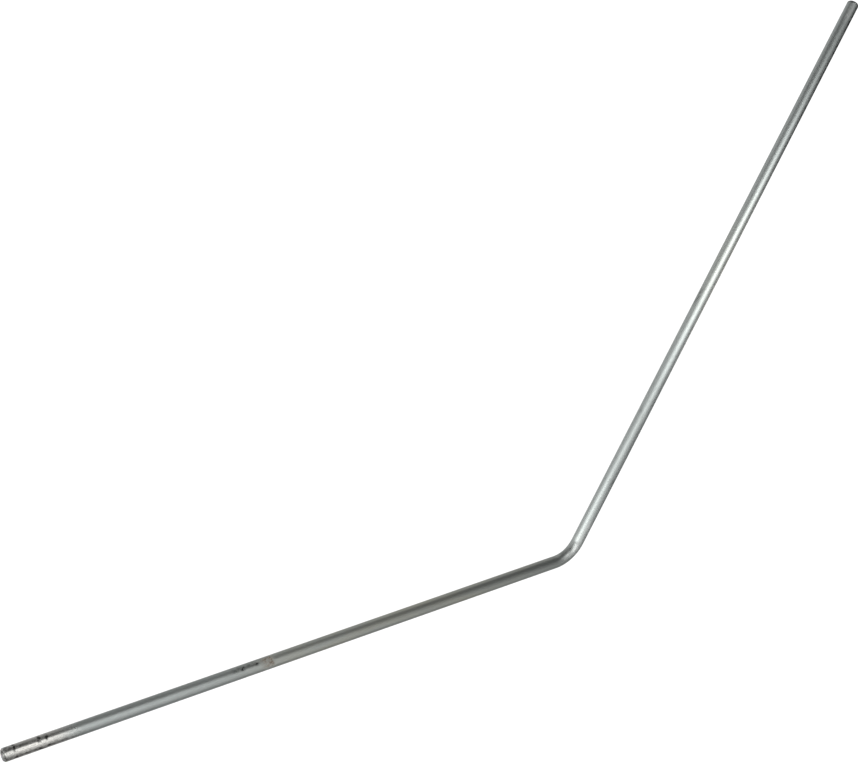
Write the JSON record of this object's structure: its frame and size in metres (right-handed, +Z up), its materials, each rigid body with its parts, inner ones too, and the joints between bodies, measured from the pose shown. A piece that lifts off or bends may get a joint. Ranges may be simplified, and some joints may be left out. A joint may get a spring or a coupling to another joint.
{
  "type": "drill mixing rod",
  "caption": "Round steel rod with a single bend: the straight shank is gripped in a drill chuck and the angled arm sweeps round to stir paint.",
  "frame": {"origin": "centre of the shank's end face, on the centreline of the bar", "axes": "+X runs along the shank from its end towards the bend, +Y is the side that the arm turns to, and +Z is up as the rod lies flat"},
  "size_m": [0.8167, 0.411, 0.01],
  "materials": {
    "drawn_steel": "bright-drawn mild steel, satin, with fine lengthwise draw lines and handling marks"
  },
  "bodies": {
    "root": {"mixing_rod": "drawn_steel"}
  },
  "joints": []
}
